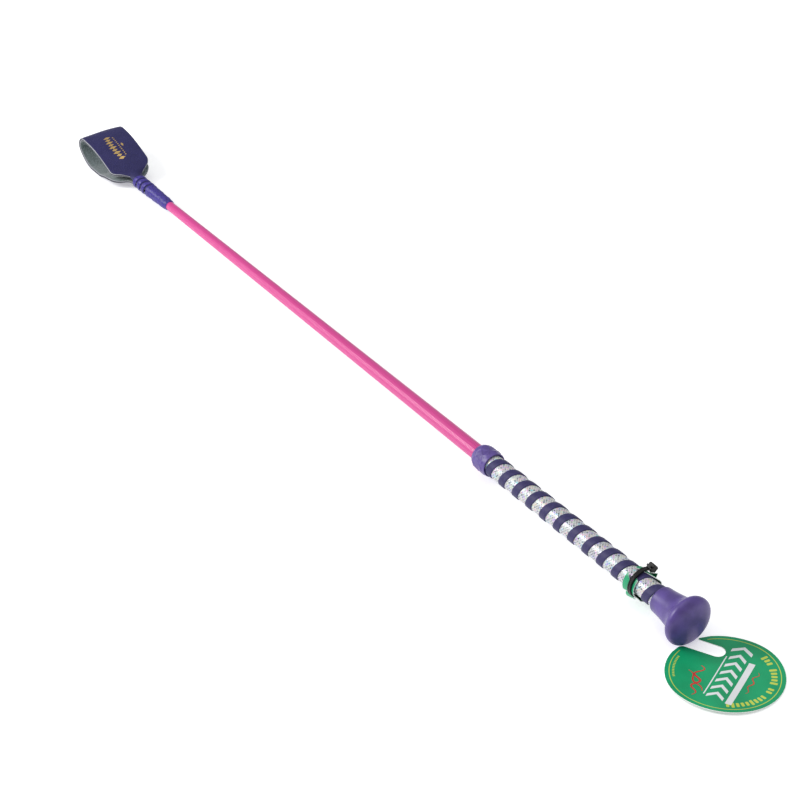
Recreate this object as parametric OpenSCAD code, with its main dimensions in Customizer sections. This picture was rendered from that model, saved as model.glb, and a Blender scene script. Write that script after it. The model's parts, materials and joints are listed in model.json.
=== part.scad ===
// Junior riding crop, lying on a flat surface.
// Millimetres, +Z up. +X runs from the leather keeper towards the knob, and the
// surface that the crop lies on is z = 0.
// The crop rests on the rim of its knob and on the flat underside of the keeper, so
// its straight axis slopes down very slightly towards the keeper.

/* [Handle] */
// Radius of the knob's rim
knob_r = 13.8; // [12:0.1:16]
// Height of the knob's dome above the plane of its rim
dome_h = 5; // [3:0.5:8]
// Length of the knob from its mouth to the plane of its rim
knob_len = 21; // [18:0.5:26]
// Length of grip that shows between the collar and the knob
grip_len = 143.5; // [100:0.5:180]
// Radius over the grip's mesh fabric
grip_r = 5.9; // [5.5:0.05:7]
// Advance of the wrapped strip in one turn
band_pitch = 12.3; // [10:0.1:16]
// Width of the wrapped strip
band_w = 5.4; // [4:0.1:7]
// Thickness of the wrapped strip
band_t = 0.4; // [0.3:0.05:0.6]
// Length of the collar below the grip
collar_len = 13.5; // [10:0.5:18]
// Greatest radius of the barrel-shaped collar
collar_r = 7.5; // [7:0.1:9]

/* [Shaft] */
// Length of braided shaft that shows between the collar and the binding
shaft_len = 360; // [250:0.5:450]
// Radius over the braid at the collar
shaft_r1 = 4.55; // [4.2:0.05:4.8]
// Radius over the braid where the binding starts
shaft_r2 = 3.05; // [2.8:0.05:3.3]
// Thickness of the braided cover
braid_t = 0.85; // [0.6:0.05:1]

/* [Keeper] */
// Length of the thread binding that holds the keeper
binding_len = 45.5; // [36:0.5:55]
// Radius over the binding at its shaft end
binding_r1 = 3.5; // [3.4:0.05:4]
// Radius over the binding at its keeper end
binding_r2 = 4.8; // [4.6:0.05:5.2]
// Length of the leather loop beyond the binding
loop_len = 62; // [58:1:72]
// Width of the leather strip
keeper_w = 28.6; // [22:0.2:36]
// Thickness of the leather
leather_t = 1.9; // [1.4:0.1:2.2]

/* [Tie and ticket] */
// Distance of the cable tie from the knob's mouth
tie_back = 16.4; // [12:0.2:40]
// Width of the cable tie's strap
strap_w = 2.5; // [2.3:0.1:3.6]
// Thickness of the cable tie's strap
strap_t = 1; // [0.8:0.1:1.3]
// Radius of the round swing ticket
ticket_r = 29.5; // [25:0.5:35]
// Thickness of the card
card_t = 0.45; // [0.3:0.05:0.6]
// Width of the ticket's open slot
slot_w = 8.4; // [7:0.2:10]

/* [Hidden] */
$fn = 96;

// Stations along the crop's own axis, measured from the plane of the knob's rim,
// negative towards the keeper.
mouth_x = -knob_len;
collar_x1 = mouth_x - grip_len;
collar_x0 = collar_x1 - collar_len;
whip_x = collar_x0 - shaft_len;
bind_x = whip_x - binding_len;

// Depths inside the handle.
rod_gap = 3;         // solid dome beyond the end of the rod
knob_socket = 9;     // wide part of the knob's bore, which covers the strip's end
collar_socket = 3.5; // wide part of the collar's bore, over the strip's start
seat_x = collar_x1 - collar_socket;

// Radii inside the handle.
rod_r1 = shaft_r1 - braid_t;
rod_r2 = shaft_r2 - braid_t;
fabric_t = 0.5;
band_gap = 0.03;     // glue line, which also clears the chords of the strip's facets
band_r = grip_r + band_gap + band_t;
socket_r = band_r + 0.05;

// Inside the binding.
tongue_len = 18;     // bound part of the keeper's leather strip
tongue_r1 = 3.05;
tongue_r2 = 3.7;
tongue_angle = 126;
rod_inset = 6;       // the rod stops this far short of the binding's mouth
turns = 3;           // spaced thread turns over the leather
turn_w = 2.6;
turn_rise = 0.35;

// Where the crop lies.
axis_drop = 6.4;     // height of the axis at the binding's mouth
tilt = asin((knob_r - axis_drop) / -bind_x);
ticket_gap = 29.6;   // ticket's centre beyond the plane of the knob's rim
front_x = ticket_gap + ticket_r;
back_x = bind_x * cos(tilt) - loop_len;
shift_x = -(front_x + back_x) / 2;
mouth_world_x = shift_x + bind_x * cos(tilt);

function lerp(a, b, k) = a + (b - a) * k;

// Radius of the shaft's braid, and of the rod under it, anywhere along the crop.
function shaft_r(x) = lerp(shaft_r1, shaft_r2, (collar_x0 - x) / shaft_len);
function rod_r(x) = shaft_r(x) - braid_t;

// Points along a cubic curve, without its first point.
function curve(a, b, c, d, n = 12) = [
    for (i = [1 : n])
        let (k = i / n, j = 1 - k)
            j * j * j * a + 3 * j * j * k * b + 3 * j * k * k * c + k * k * k * d
];

// Places the crop's own frame on the surface.
module lay() {
    translate([shift_x, 0, knob_r]) rotate([0, -tilt, 0]) children();
}

// Turns a profile of [x along the axis, radius] into a solid about the crop's axis.
module about_axis(profile, angle = 360) {
    rotate([0, 90, 0]) rotate([0, 0, 180])
        rotate_extrude(angle = angle) polygon([for (p = profile) [p[1], p[0]]]);
}

// Straight tube or cone between two stations, with its bore.
module tube_x(x0, x1, r0, r1, bore0, bore1) {
    about_axis([[x0, bore0], [x1, bore1], [x1, r1], [x0, r0]]);
}

// ---------- shaft ----------

module core_rod() {
    end_x = bind_x + rod_inset;
    color("wheat") lay()
        about_axis([
            [end_x, 0], [-rod_gap, 0], [-rod_gap, rod_r(seat_x)],
            [seat_x, rod_r(seat_x)], [end_x, rod_r(end_x)]
        ]);
}

module braid_cover() {
    end_x = bind_x + rod_inset + 2;
    color([0.85, 0.24, 0.58]) lay()
        tube_x(end_x, seat_x, shaft_r(end_x), shaft_r(seat_x), rod_r(end_x), rod_r(seat_x));
}

// ---------- handle ----------

module grip_tube() {
    r = grip_r - fabric_t;
    color("dimgray") lay()
        tube_x(seat_x, -rod_gap, r, r, rod_r(seat_x), rod_r(seat_x));
}

module grip_fabric() {
    r = grip_r - fabric_t;
    color("silver") lay() tube_x(seat_x, -rod_gap, grip_r, grip_r, r, r);
}

// Left-handed strip: it moves towards the keeper as it turns by the right hand about +X.
module grip_band() {
    steps = 40;
    band_start = collar_x1 - collar_socket + 0.5 + band_w / 2;
    band_end = mouth_x + knob_socket - 1 - band_w / 2;
    turn_count = (band_end - band_start) / band_pitch;
    n = round(turn_count * steps);
    inner = grip_r + band_gap;
    // The strip's cross-section lies along the axis, so each ring is four points.
    ring = [
        [-band_w / 2, inner], [band_w / 2, inner],
        [band_w / 2, band_r], [-band_w / 2, band_r]
    ];
    points = [
        for (i = [0 : n])
            let (x = lerp(band_end, band_start, i / n), a = 360 * turn_count * i / n + band_phase)
                for (p = ring) [x + p[0], p[1] * cos(a), p[1] * sin(a)]
    ];
    sides = [
        for (i = [0 : n - 1])
            for (j = [0 : 3])
                let (k = (j + 1) % 4)
                    [4 * i + j, 4 * i + k, 4 * i + 4 + k, 4 * i + 4 + j]
    ];
    ends = [[3, 2, 1, 0], [4 * n, 4 * n + 1, 4 * n + 2, 4 * n + 3]];
    color([0.2, 0.19, 0.4]) lay() polyhedron(points, concat(sides, ends), convexity = 10);
}

module grip_collar() {
    lip = 0.6;
    outline = concat(
        [[collar_x0, shaft_r1 + lip]],
        curve([collar_x0, shaft_r1 + lip], [collar_x0, collar_r - 0.9],
            [collar_x0 + 2, collar_r], [collar_x0 + 6, collar_r]),
        curve([collar_x0 + 6, collar_r], [collar_x1 - 3, collar_r],
            [collar_x1, collar_r - 0.1], [collar_x1, band_r + lip])
    );
    bore = [
        [collar_x1, socket_r], [seat_x, socket_r],
        [seat_x, shaft_r(seat_x)], [collar_x0, shaft_r(collar_x0)]
    ];
    color([0.4, 0.33, 0.6]) lay() about_axis(concat(outline, bore));
}

module knob_cap() {
    neck_r = 7.5;
    waist_x = -9.5;
    waist_r = 8.9;
    flare_x = -3;        // where the flare meets the rounded rim
    socket_x = mouth_x + knob_socket;
    outline = concat(
        [[mouth_x, neck_r - 0.7]],
        curve([mouth_x, neck_r - 0.7], [mouth_x, neck_r - 0.2],
            [mouth_x + 0.3, neck_r], [mouth_x + 1.2, neck_r + 0.05], 6),
        curve([mouth_x + 1.2, neck_r + 0.05], [mouth_x + 5, neck_r + 0.3],
            [waist_x - 2, waist_r - 0.4], [waist_x, waist_r], 8),
        curve([waist_x, waist_r], [waist_x + 3.3, waist_r + 0.4],
            [flare_x - 1.1, knob_r - 3.2], [flare_x, knob_r - 1.8], 10),
        curve([flare_x, knob_r - 1.8], [flare_x + 0.6, knob_r - 0.5],
            [-1.2, knob_r], [0, knob_r], 6),
        curve([0, knob_r], [2.2, knob_r], [dome_h - 1.2, knob_r - 3],
            [dome_h - 0.6, knob_r - 7], 12),
        curve([dome_h - 0.6, knob_r - 7], [dome_h - 0.1, knob_r - 9.5],
            [dome_h, 2], [dome_h, 0], 8)
    );
    bore = [
        [-rod_gap, 0], [-rod_gap, grip_r], [socket_x, grip_r],
        [socket_x, socket_r], [mouth_x, socket_r]
    ];
    color([0.38, 0.32, 0.6]) lay() about_axis(concat(outline, bore));
}

// ---------- cable tie and the torn card that it holds ----------

tie_x = mouth_x - tie_back;
card_r = band_r + 0.03;
strap_r = card_r + card_t + 0.02;
head_angle = 40;     // from +Y towards +Z, looking along +X
band_phase = -130;

module cable_tie() {
    head = [4, 4, 3.3];
    tail = 1.6;
    color([0.12, 0.11, 0.12]) lay() translate([tie_x, 0, 0]) {
        tube_x(-strap_w / 2, strap_w / 2, strap_r + strap_t, strap_r + strap_t,
            strap_r, strap_r);
        rotate([head_angle, 0, 0])
            translate([0, strap_r + strap_t / 2 + head[2] / 2, 0]) {
                cube([head[0], head[2], head[1]], center = true);
                translate([0, 0, head[1] / 2 + tail / 2])
                    cube([strap_w, strap_t, tail], center = true);
            }
    }
}

// Sector of a thin sleeve of card, from one angle to another, past both sides of the strap.
module card_sector(from, to, back, front) {
    rotate([from, 0, 0]) rotate([0, 90, 0]) rotate([0, 0, 90])
        rotate_extrude(angle = to - from)
            polygon([
                [card_r, tie_x - back], [card_r + card_t, tie_x - back],
                [card_r + card_t, tie_x + front], [card_r, tie_x + front]
            ]);
}

module tie_card() {
    color([0.02, 0.55, 0.32]) lay() {
        card_sector(20, 80, 3.4, 7);
        card_sector(80, 130, 1.2, 1.2);
        card_sector(130, 225, 4.6, 3.2);
        card_sector(225, 300, 3, 7.5);
        card_sector(300, 380, 1.2, 1.2);
    }
}

// ---------- swing ticket ----------

slot_angle = 28;     // direction of the slot's length, from +X towards +Y
slot_end = [-15.5, 8.2];

module swing_ticket() {
    reach = 22;
    color([0.03, 0.5, 0.32]) translate([shift_x + ticket_gap, 0, 0])
        linear_extrude(card_t)
            difference() {
                circle(ticket_r);
                translate(slot_end) rotate(slot_angle) {
                    circle(slot_w / 2);
                    translate([-reach, -slot_w / 2]) square([reach, slot_w]);
                }
            }
}

// ---------- keeper ----------

module keeper_binding() {
    lash_x = bind_x + tongue_len;
    lash_r = lerp(binding_r1, binding_r2, (binding_len - tongue_len) / binding_len);
    bore_end = shaft_r(lash_x);
    step = tongue_len / turns;
    color([0.2, 0.16, 0.5]) lay() {
        about_axis(concat(
            [[whip_x, shaft_r(whip_x)], [whip_x, binding_r1 - 0.25],
             [whip_x - 0.4, binding_r1], [lash_x, lash_r]],
            [for (i = [0 : turns - 1])
                let (
                    x = lash_x - i * step,
                    r = lerp(lash_r, binding_r2, (i + 0.5) / turns) - turn_rise
                )
                    each [[x - step + turn_w, r], [x - step + turn_w, r + turn_rise],
                          [x - step, r + turn_rise]]
            ],
            [[bind_x, tongue_r2], [lash_x, tongue_r2], [lash_x, bore_end]]
        ));
    }
}

// The strip's two ends, skived thin and moulded round the shaft under the binding.
module keeper_root() {
    color([0.28, 0.27, 0.45]) lay()
        for (side = [0, 180])
            rotate([side + 90 - tongue_angle / 2, 0, 0])
                rotate([0, 90, 0]) rotate([0, 0, 90])
                    rotate_extrude(angle = tongue_angle)
                        polygon([
                            [tongue_r1, bind_x], [tongue_r2, bind_x],
                            [tongue_r2, bind_x + tongue_len], [tongue_r1, bind_x + tongue_len]
                        ]);
}

// Middle line of the folded strip, seen from the side: u runs away from the binding.
hinge_gap = 3.2;       // clearance for the bend at the mouth
root_u = 14;           // the two layers start to spread apart here
upper_z = 13.2;
lower_z = 6.2;
crown = [50, 21.15];
flat_u = [32, 43];
fold = [loop_len - leather_t / 2, 12.3];
bed = leather_t / 2;
upper_root = axis_drop + 2.3;
lower_root = axis_drop - 2.3;

middle_line = concat(
    [[hinge_gap, upper_root]],
    curve([hinge_gap, upper_root], [6, upper_root + 0.8], [10, upper_z - 1.6],
        [root_u, upper_z], 8),
    curve([root_u, upper_z], [23.5, upper_z + 3.6], [36, crown[1]], crown, 14),
    curve(crown, [56, crown[1]], [fold[0], 17.5], fold, 12),
    curve(fold, [fold[0], 8.2], [51, bed], [flat_u[1], bed], 14),
    [[flat_u[0], bed]],
    curve([flat_u[0], bed], [27, bed], [20, lower_z - 1.2], [root_u, lower_z], 12),
    curve([root_u, lower_z], [11, lower_z + 0.6], [7, lower_root + 1.2],
        [hinge_gap, lower_root], 8)
);

// Unit vector square to the middle line at point i.
function across(line, i) =
    let (
        a = line[max(i - 1, 0)], b = line[min(i + 1, len(line) - 1)],
        d = b - a
    )
        [-d[1], d[0]] / norm(d);

function beside(line, gap) = [for (i = [0 : len(line) - 1]) line[i] + gap * across(line, i)];

module keeper_plan() {
    root_w = 5;
    half = keeper_w / 2;
    side = concat(
        [[0, root_w], [hinge_gap + 1, root_w]],
        curve([hinge_gap + 1, root_w], [6, root_w + 1], [7.5, half - 0.6],
            [13.5, half], 10),
        [[loop_len + 2, half]]
    );
    polygon(concat(side, [for (i = [len(side) - 1 : -1 : 0]) [side[i][0], -side[i][1]]]));
}

module keeper_loop() {
    outer = beside(middle_line, leather_t / 2);
    inner = beside(middle_line, -leather_t / 2);
    color([0.27, 0.26, 0.45])
        translate([mouth_world_x, 0, 0]) mirror([1, 0, 0])
            intersection() {
                rotate([90, 0, 0])
                    linear_extrude(keeper_w + 2, center = true)
                        polygon(concat(outer, [for (i = [len(inner) - 1 : -1 : 0]) inner[i]]));
                translate([0, 0, -1]) linear_extrude(crown[1] + 4) keeper_plan();
            }
}

core_rod();
braid_cover();
grip_tube();
grip_fabric();
grip_band();
grip_collar();
knob_cap();
cable_tie();
tie_card();
swing_ticket();
keeper_binding();
keeper_root();
keeper_loop();
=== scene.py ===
"""A riding crop lying on a pale floor: its visible surfaces, materials, light and camera.

Lengths are millimetres in the crop's own frame: x runs along the straight shaft, 0 at the
plane of the knob's rim and negative towards the keeper, with z up. to_row() turns them into
metres in the CAD frame.
"""

import json
import math

import bmesh
import bpy
import numpy as np
from mathutils import Matrix, Vector


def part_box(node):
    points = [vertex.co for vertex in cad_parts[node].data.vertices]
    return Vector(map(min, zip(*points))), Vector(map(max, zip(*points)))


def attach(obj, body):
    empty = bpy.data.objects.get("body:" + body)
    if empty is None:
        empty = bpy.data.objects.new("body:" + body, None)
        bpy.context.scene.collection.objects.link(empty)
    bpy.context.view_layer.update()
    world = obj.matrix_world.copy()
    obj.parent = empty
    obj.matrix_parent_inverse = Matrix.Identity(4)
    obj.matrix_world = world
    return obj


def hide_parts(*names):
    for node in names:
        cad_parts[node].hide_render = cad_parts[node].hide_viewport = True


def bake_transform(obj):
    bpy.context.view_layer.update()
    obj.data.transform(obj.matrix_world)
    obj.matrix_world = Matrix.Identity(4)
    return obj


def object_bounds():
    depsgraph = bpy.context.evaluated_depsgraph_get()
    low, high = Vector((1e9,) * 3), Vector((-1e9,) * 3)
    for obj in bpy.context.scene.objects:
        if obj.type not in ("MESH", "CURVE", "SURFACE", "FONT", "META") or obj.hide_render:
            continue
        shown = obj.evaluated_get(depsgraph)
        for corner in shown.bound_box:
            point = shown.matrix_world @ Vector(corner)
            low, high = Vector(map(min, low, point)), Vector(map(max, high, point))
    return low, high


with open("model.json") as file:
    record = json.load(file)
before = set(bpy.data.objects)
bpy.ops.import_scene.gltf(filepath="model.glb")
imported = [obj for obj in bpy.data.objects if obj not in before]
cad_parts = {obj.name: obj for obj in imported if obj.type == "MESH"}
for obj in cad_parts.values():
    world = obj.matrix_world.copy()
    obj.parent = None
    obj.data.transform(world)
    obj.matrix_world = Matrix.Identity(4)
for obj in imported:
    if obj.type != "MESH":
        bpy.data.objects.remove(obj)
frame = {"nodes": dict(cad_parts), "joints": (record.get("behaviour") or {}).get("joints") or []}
cad_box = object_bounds()

MM = 0.001
TURN = 2 * math.pi

# ---------- the crop's sizes, as in the CAD ----------

KNOB_R = 13.8
DOME_H = 5
MOUTH_X = -21
GRIP_END_X = -164.5
COLLAR_X = -178
WHIP_X = -538
GRIP_R = 5.9
BAND_PITCH = 12.3
BAND_W = 5.4
BAND_T = 0.4
BAND_PHASE = math.radians(-130)
FABRIC_T = 0.5
SOCKET_R = GRIP_R + 0.48
COLLAR_SOCKET = 3.5
KNOB_SOCKET = 9
COLLAR_R = 7.5
SHAFT_R1, SHAFT_R2 = 4.55, 3.05
BRAID_T = 0.85
TIE_X = -37.4
TICKET_R = 29.5
CARD_T = 0.45
SLOT_W = 8.4
LEATHER_T = 1.9
KEEPER_W = 28.6
LOOP_LEN = 62

# ---------- the crop's own frame ----------

flex = next(j for j in frame["joints"] if j["name"] == "keeper_flex")
hinge = Vector(flex["pos_m"])
knob_low, knob_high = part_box("knob_cap")
rim = Vector((knob_high.x - DOME_H * MM, 0, (knob_low.z + knob_high.z) / 2))
BIND_X = -(rim - hinge).length / MM
along = (rim - hinge).normalized()
across = Vector((0, 1, 0))
upward = along.cross(across)
AXES = np.array([along, across, upward])


def to_row(points):
    """Points of the crop's own frame, in metres in the CAD frame."""
    return np.array(rim) + MM * np.asarray(points) @ AXES


def to_keeper(points):
    """Points of [distance from the binding's mouth, y, height over the floor]."""
    points = np.asarray(points) * [-1, 1, 1]
    return np.array([hinge.x, 0, 0]) + MM * points


def to_ticket(points):
    """Points of the ticket's own plan, about its centre, on the floor."""
    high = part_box("swing_ticket")[1]
    return np.array([high.x - TICKET_R * MM, 0, 0]) + MM * np.asarray(points)


def shaft_r(x):
    return SHAFT_R1 + (SHAFT_R2 - SHAFT_R1) * (COLLAR_X - x) / (COLLAR_X - WHIP_X)


# ---------- mesh helpers ----------


def smoothstep(low, high, value):
    k = np.clip((value - low) / (high - low), 0, 1)
    return k * k * (3 - 2 * k)


def curve(a, b, c, d, count):
    """Points of a cubic curve, without its first point."""
    k = np.linspace(0, 1, count + 1)[1:, None]
    a, b, c, d = (np.asarray(p, float) for p in (a, b, c, d))
    return (1 - k) ** 3 * a + 3 * (1 - k) ** 2 * k * b + 3 * (1 - k) * k**2 * c + k**3 * d


def grid_quads(rows, columns, wrap_rows=False, wrap_columns=False):
    """The quads of a grid of points, and each quad corner's row and column before wrapping."""
    i, j = np.meshgrid(
        np.arange(rows if wrap_rows else rows - 1),
        np.arange(columns if wrap_columns else columns - 1),
        indexing="ij",
    )
    corners_i = np.stack([i, i + 1, i + 1, i], -1).reshape(-1, 4)
    corners_j = np.stack([j, j, j + 1, j + 1], -1).reshape(-1, 4)
    return corners_i % rows * columns + corners_j % columns, corners_i, corners_j


def link(name, data):
    made = bpy.data.objects.new(name, data)
    bpy.context.scene.collection.objects.link(made)
    return made


def build(name, points, faces, materials, slots=None, uv=None, weave=None):
    """A mesh object from points in metres.

    uv is one pair per corner, in millimetres; weave is one height per corner, from 0 to 1."""
    mesh = bpy.data.meshes.new(name)
    mesh.from_pydata(np.asarray(points).tolist(), [], [list(f) for f in faces])
    if uv is not None:
        layer = mesh.uv_layers.new(name="thread")
        layer.data.foreach_set("uv", np.asarray(uv, np.float32).ravel())
    if weave is not None:
        layer = mesh.uv_layers.new(name="weave")
        pairs = np.stack([weave, 0 * weave], -1)
        layer.data.foreach_set("uv", pairs.astype(np.float32).ravel())
    for material in materials:
        mesh.materials.append(material)
    if slots is not None:
        mesh.polygons.foreach_set("material_index", np.asarray(slots, np.int32))
    mesh.polygons.foreach_set("use_smooth", np.full(len(mesh.polygons), True))
    work = bmesh.new()
    work.from_mesh(mesh)
    bmesh.ops.remove_doubles(work, verts=work.verts, dist=1e-8)
    bmesh.ops.recalc_face_normals(work, faces=work.faces)
    work.to_mesh(mesh)
    work.free()
    return link(name, mesh)


def lathe(name, outer, bore, material, columns, relief):
    """A closed solid of revolution about the crop's axis.

    outer and bore make up its profile of [x, radius]; relief(x, angle) is added to outer."""
    profile = np.vstack([outer, bore]).astype(float)
    angle = np.arange(columns) * TURN / columns
    x = np.repeat(profile[:, :1], columns, 1)
    r = np.repeat(profile[:, 1:], columns, 1)
    skin = slice(0, len(outer))
    r[skin] += relief(x[skin], angle[None, :])
    rows = np.stack([x, r * np.cos(angle), r * np.sin(angle)], -1)
    faces, i, j = grid_quads(len(rows), columns, True, True)
    step = np.linalg.norm(np.diff(np.vstack([profile, profile[:1]]), axis=0), axis=1)
    length = np.concatenate([[0], np.cumsum(step)])
    v = j.ravel() * TURN / columns * profile[:, 1].max()
    uv = np.stack([length[i.ravel()], v], -1)
    height = r - profile[:, 1:]
    height = (height - height.min()) / max(np.ptp(height), 1e-6)
    weave = height.ravel()[faces].ravel()
    return build(name, to_row(rows.reshape(-1, 3)), faces, [material], uv=uv, weave=weave)


def sweep(name, centres, sections, material):
    """A closed bar: sections[i] holds the ring of points at centres[i]."""
    rings = np.asarray(sections) + np.asarray(centres)[:, None, :]
    count, sides = rings.shape[:2]
    faces, i, j = grid_quads(count, sides, False, True)
    caps = [list(range(sides)), list(range((count - 1) * sides, count * sides))]
    gaps = np.linalg.norm(np.diff(rings.mean(1), axis=0), axis=1)
    length = np.concatenate([[0], np.cumsum(gaps)])
    width = np.linalg.norm(rings[0] - np.roll(rings[0], -1, 0), axis=1)
    around = np.concatenate([[0], np.cumsum(width)])
    uv = np.stack([length[i.ravel()], around[j.ravel()]], -1)
    uv = np.vstack([uv, np.zeros((2 * sides, 2))])
    points = to_row(rings.reshape(-1, 3))
    return build(name, points, faces.tolist() + caps, [material], uv=uv)


def helix_bar(name, section, x_start, x_end, pitch, phase, steps, material, radius=None):
    """A left-handed strip wound round the crop, from x_start down to x_end.

    section is its closed outline of [x, radius]; radius(x) is added along the way."""
    turns = (x_start - x_end) / pitch
    count = round(turns * steps) + 1
    k = np.linspace(0, 1, count)
    x = x_start + (x_end - x_start) * k
    angle = TURN * turns * k + phase
    section = np.asarray(section, float)
    r = section[None, :, 1] + (radius(x)[:, None] if radius else 0)
    ring = np.stack(
        [
            np.repeat(section[None, :, 0], count, 0),
            r * np.cos(angle)[:, None],
            r * np.sin(angle)[:, None],
        ],
        -1,
    )
    centres = np.stack([x, 0 * x, 0 * x], -1)
    return sweep(name, centres, ring, material)


# ---------- materials ----------


class Paint:
    """One procedural material; values may be numbers, colours or other nodes' sockets."""

    def __init__(self, name, **shader):
        self.material = bpy.data.materials.new(name)
        self.material.use_nodes = True
        self.tree = self.material.node_tree
        self.shader = self.tree.nodes["Principled BSDF"]
        for key, value in shader.items():
            self.put(self.shader.inputs[key.replace("_", " ")], value)

    def put(self, socket, value):
        if isinstance(value, bpy.types.NodeSocket):
            self.tree.links.new(value, socket)
        elif isinstance(value, tuple) and len(value) == 3 and socket.type == "RGBA":
            socket.default_value = (*value, 1)
        else:
            socket.default_value = value

    def node(self, kind, inputs, **settings):
        made = self.tree.nodes.new("ShaderNode" + kind)
        for key, value in settings.items():
            setattr(made, key, value)
        for key, value in inputs.items():
            self.put(made.inputs[key], value)
        return made

    def math(self, operation, a, b=0.0, c=0.0):
        return self.node("Math", {0: a, 1: b, 2: c}, operation=operation).outputs[0]

    def mix(self, factor, a, b):
        made = self.node("Mix", {}, data_type="RGBA")
        colours = [s for s in made.inputs if s.type == "RGBA"]
        self.put(made.inputs[0], factor)
        self.put(colours[0], a)
        self.put(colours[1], b)
        return next(s for s in made.outputs if s.type == "RGBA")

    def ramp(self, value, low, high):
        """0 below low and 1 above high."""
        made = self.node(
            "MapRange", {"Value": value, "From Min": low, "From Max": high},
            interpolation_type="SMOOTHSTEP",
        )
        return made.outputs[0]

    def place(self, scale=(1.0, 1.0, 1.0)):
        """Object coordinates in millimetres, times scale."""
        coordinates = self.node("TexCoord", {}).outputs["Object"]
        size = tuple(s / MM for s in scale)
        return self.node("Mapping", {"Vector": coordinates, "Scale": size}).outputs[0]

    def thread_uv(self, scale=(1.0, 1.0, 1.0)):
        """Millimetres along and around the piece, times scale."""
        uv = self.node("UVMap", {}, uv_map="thread").outputs[0]
        return self.node("Mapping", {"Vector": uv, "Scale": scale}).outputs[0]

    def weave(self, low, high):
        """0 in the grooves between threads and 1 on top of them."""
        height = self.node("SeparateXYZ", {0: self.node("UVMap", {}, uv_map="weave").outputs[0]})
        return self.ramp(height.outputs[0], low, high)

    def noise(self, vector, scale, detail=2.0, roughness=0.5, distortion=0.0):
        made = self.node("TexNoise", {
            "Vector": vector, "Scale": scale, "Detail": detail,
            "Roughness": roughness, "Distortion": distortion,
        })
        return made.outputs["Fac"]

    def cells(self, vector, scale, feature="F1"):
        made = self.node("TexVoronoi", {"Vector": vector, "Scale": scale}, feature=feature)
        return made.outputs["Distance"]

    def bump(self, height, depth, strength=1.0, under=None):
        """Relief of that depth in millimetres, on top of another bump."""
        inputs = {"Height": height, "Distance": depth * MM, "Strength": strength}
        if under is not None:
            inputs["Normal"] = under
        return self.node("Bump", inputs).outputs[0]

    def finish(self, colour=None, roughness=None, normal=None):
        for key, value in (
            ("Base Color", colour), ("Roughness", roughness), ("Normal", normal)
        ):
            if value is not None:
                self.put(self.shader.inputs[key], value)
        return self.material


def pink_braid():
    """Shiny nylon thread: fine fibres, and painted shade in the grooves between strands."""
    paint = Paint("pink_braid", Coat_Weight=0.35, Coat_Roughness=0.2)
    fibre = paint.noise(paint.thread_uv((7.0, 1.4, 1.0)), 1.0, 3, 0.6)
    blotch = paint.noise(paint.place(), 0.12, 2)
    colour = paint.mix(paint.ramp(fibre, 0.3, 0.7), (0.54, 0.022, 0.2), (0.66, 0.045, 0.28))
    colour = paint.mix(paint.math("MULTIPLY", blotch, 0.25), colour, (0.74, 0.09, 0.36))
    # painted shade: the grooves between strands are darkened in the colour, following the weave
    # height
    colour = paint.mix(paint.weave(0.05, 0.7), (0.42, 0.014, 0.15), colour)
    rough = paint.math("MULTIPLY_ADD", fibre, 0.3, 0.22)
    return paint.finish(colour, rough, paint.bump(fibre, 0.05, 0.6))


def sparkle_mesh():
    """Silver holographic film under a white net: dark holes, some with a painted rainbow glint, and
    a painted rainbow glint on some of the silver.
    """
    paint = Paint("sparkle_mesh", Metallic=0.2, Coat_Weight=0.12, Coat_Roughness=0.25)
    cell = 1.0 / NET_CELL
    uv = paint.node("SeparateXYZ", {0: paint.thread_uv((cell, cell, 1.0))})
    u, v = uv.outputs[0], uv.outputs[1]
    p, q = paint.math("ADD", u, v), paint.math("SUBTRACT", u, v)
    corner = paint.node("CombineXYZ", {0: paint.math("FLOOR", p), 1: paint.math("FLOOR", q)})
    noise = paint.node("TexWhiteNoise", {0: corner.outputs[0]}, noise_dimensions="3D")
    chance = noise.outputs["Value"]
    centre = paint.math("MAXIMUM", *(
        paint.math("ABSOLUTE", paint.math("SUBTRACT", paint.math("FRACT", s), 0.5))
        for s in (p, q)
    ))
    hole = paint.math("SUBTRACT", 1.0, paint.ramp(centre, 0.3, 0.4))
    patch = paint.ramp(paint.noise(paint.thread_uv(), 0.3, 1), 0.3, 0.6)
    depth = paint.math("MULTIPLY_ADD", chance, -0.6, 1.0)
    share = paint.math("MULTIPLY_ADD", patch, 0.5, 0.5)
    dark = paint.math("MULTIPLY", paint.math("MULTIPLY", hole, depth), share)
    hue = paint.node("HueSaturation", {
        "Hue": chance, "Saturation": 1.1, "Color": (0.8, 0.3, 0.4),
    }).outputs[0]
    # painted glint: a fixed rainbow colour in some holes, standing in for the film's reflection
    glint = paint.math("GREATER_THAN", paint.math("FRACT", paint.math(
        "MULTIPLY", chance, 17.0)), 0.62)
    under = paint.mix(paint.math("MULTIPLY", glint, 0.7), (0.03, 0.03, 0.045), hue)
    shade = paint.noise(paint.thread_uv(), 1.7, 2)
    silver = paint.mix(paint.ramp(shade, 0.35, 0.7), (0.7, 0.71, 0.7), (0.44, 0.45, 0.48))
    # painted glint: some cells of the silver take a little of the rainbow colour
    painted_glint_on_silver = paint.math("MULTIPLY", paint.math("LESS_THAN", chance, 0.3), 0.22)
    colour = paint.mix(dark, paint.mix(painted_glint_on_silver, silver, hue), under)
    rough = paint.math("MULTIPLY_ADD", chance, 0.25, 0.22)
    return paint.finish(colour, rough, paint.bump(shade, 0.06, 0.5))


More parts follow.
